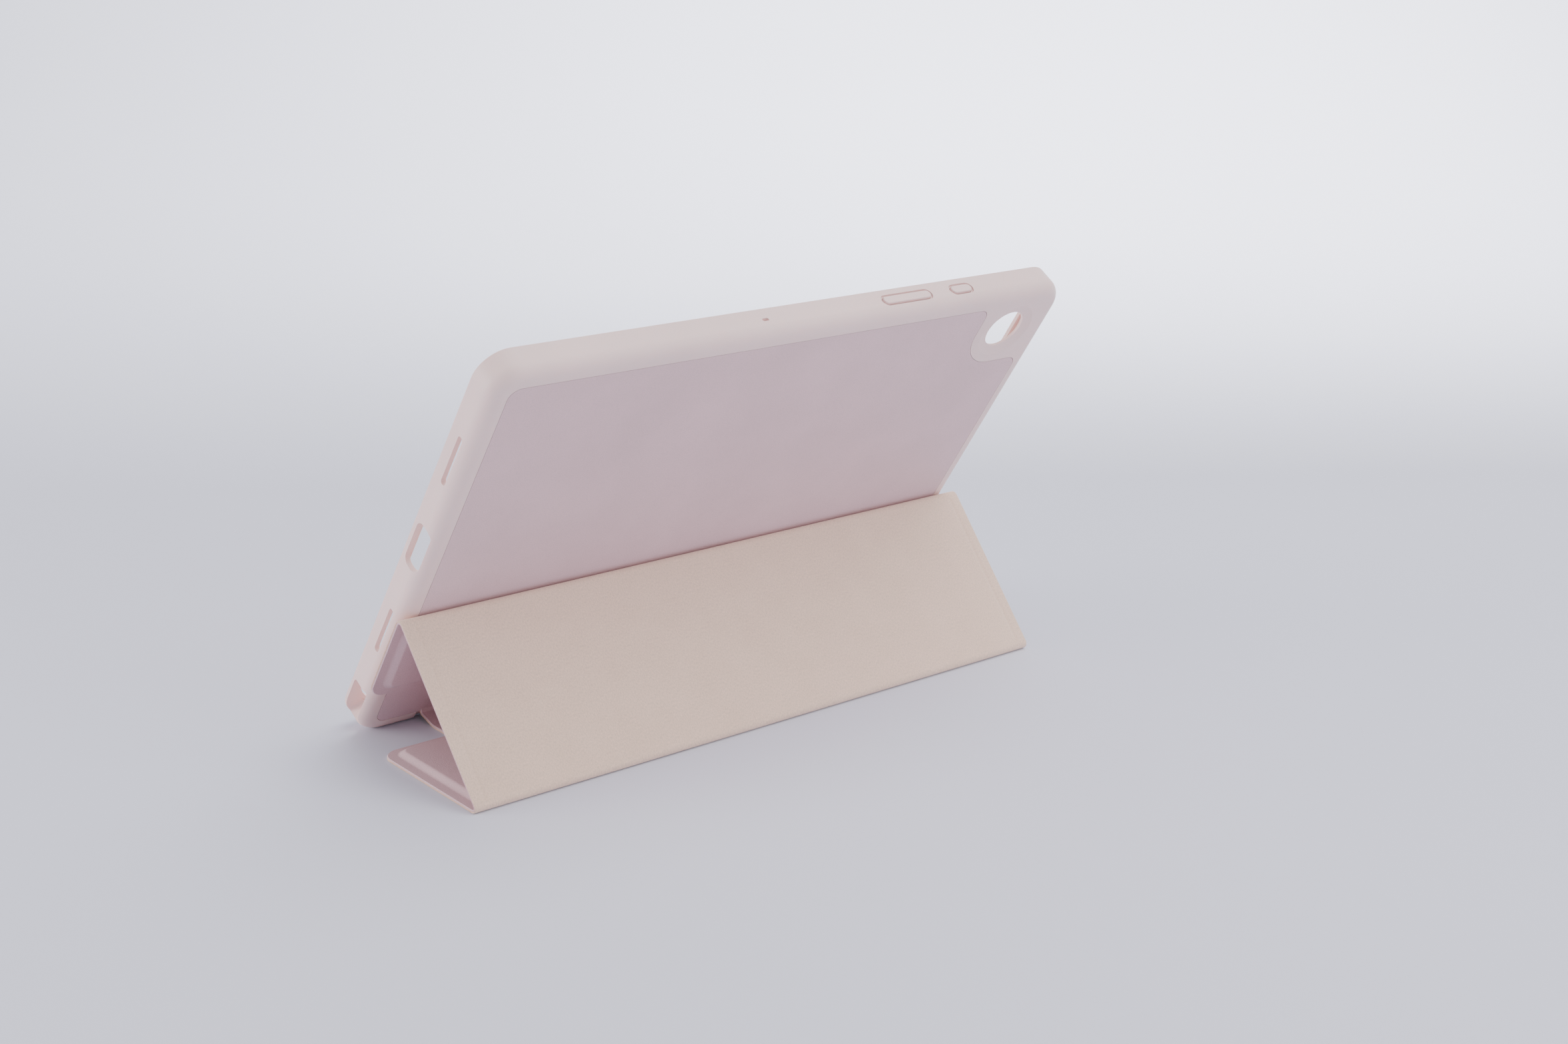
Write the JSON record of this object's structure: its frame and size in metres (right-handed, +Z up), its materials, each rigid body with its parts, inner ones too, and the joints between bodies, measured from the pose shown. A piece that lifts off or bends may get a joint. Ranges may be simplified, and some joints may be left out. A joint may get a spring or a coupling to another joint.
{
  "type": "tablet case",
  "caption": "Folding tablet case stood up as a stand: soft tray with a leather back, key covers and port openings, and a hinged three-panel cover.",
  "frame": {"origin": "on the floor, under the middle of the standing case", "axes": "+X along the tray's long side towards the charging port, +Y from the screen side to the rear leg, +Z up"},
  "size_m": [0.26, 0.102, 0.1559],
  "materials": {
    "soft_shell": "satin soft moulded shell, pale pink-beige",
    "leather": "matte fine-grain synthetic leather, mauve-pink",
    "microfibre": "brushed microfibre, beige-pink",
    "stiff_board": "plain stiffener sheet",
    "magnet": "plated magnet"
  },
  "bodies": {
    "tray": {"tray_frame": "soft_shell", "back_board": "stiff_board", "back_leather_inlay": "leather", "tray_lining": "microfibre"},
    "volume_key": {"volume_key_cover": "soft_shell"},
    "power_key": {"power_key_cover": "soft_shell"},
    "spine_upper": {"spine_upper_lining": "microfibre", "spine_upper_leather": "leather"},
    "spine_lower": {"spine_lower_lining": "microfibre", "spine_lower_leather": "leather"},
    "base_panel": {"base_panel_lining": "microfibre", "base_panel_board": "stiff_board", "base_panel_leather": "leather", "rear_fold": "leather"},
    "prop_panel": {"prop_panel_lining": "microfibre", "prop_panel_board": "stiff_board", "prop_panel_leather": "leather", "ridge_fold": "leather"},
    "rest_panel": {"rest_panel_lining": "microfibre", "rest_panel_board": "stiff_board", "rest_panel_leather": "leather", "cover_magnets": "magnet"}
  },
  "joints": [
    {"name": "spine_top_fold", "type": "hinge", "parent": "tray", "child": "spine_upper", "pos_m": [0, -0.03729, 0.00302], "axis": [1, 0, 0], "range_deg": [-130.63, 0.05]},
    {"name": "spine_middle_fold", "type": "hinge", "parent": "spine_upper", "child": "spine_lower", "pos_m": [0, -0.02935, 0.0006], "axis": [1, 0, 0], "range_deg": [-81.27, 0.05]},
    {"name": "spine_bottom_fold", "type": "hinge", "parent": "spine_lower", "child": "base_panel", "pos_m": [0, -0.01935, 0.0006], "axis": [1, 0, 0], "range_deg": [-90.05, 0.05]},
    {"name": "rear_fold", "type": "hinge", "parent": "base_panel", "child": "prop_panel", "pos_m": [0, 0.04105, 0.0011], "axis": [1, 0, 0], "range_deg": [-130.76, 0], "deforming": ["rear_fold"]},
    {"name": "ridge_fold", "type": "hinge", "parent": "prop_panel", "child": "rest_panel", "pos_m": [0, -0.00459, 0.05405], "axis": [1, 0, 0], "range_deg": [-108.05, 0.05], "deforming": ["ridge_fold"]},
    {"name": "volume_key_press", "type": "slide", "parent": "tray", "child": "volume_key", "axis": [0, -0.527, -0.8499], "range_m": [0, 0.0006], "stiffness_N_per_m": 400},
    {"name": "power_key_press", "type": "slide", "parent": "tray", "child": "power_key", "axis": [0, -0.527, -0.8499], "range_m": [0, 0.0006], "stiffness_N_per_m": 400}
  ],
  "couplings": [
    {"joint": "spine_top_fold", "follows": "rear_fold", "ratio": 0.99861},
    {"joint": "spine_middle_fold", "follows": "rear_fold", "ratio": 0.62113},
    {"joint": "spine_bottom_fold", "follows": "rear_fold", "ratio": 0.68827},
    {"joint": "ridge_fold", "follows": "rear_fold", "ratio": 0.82594}
  ]
}
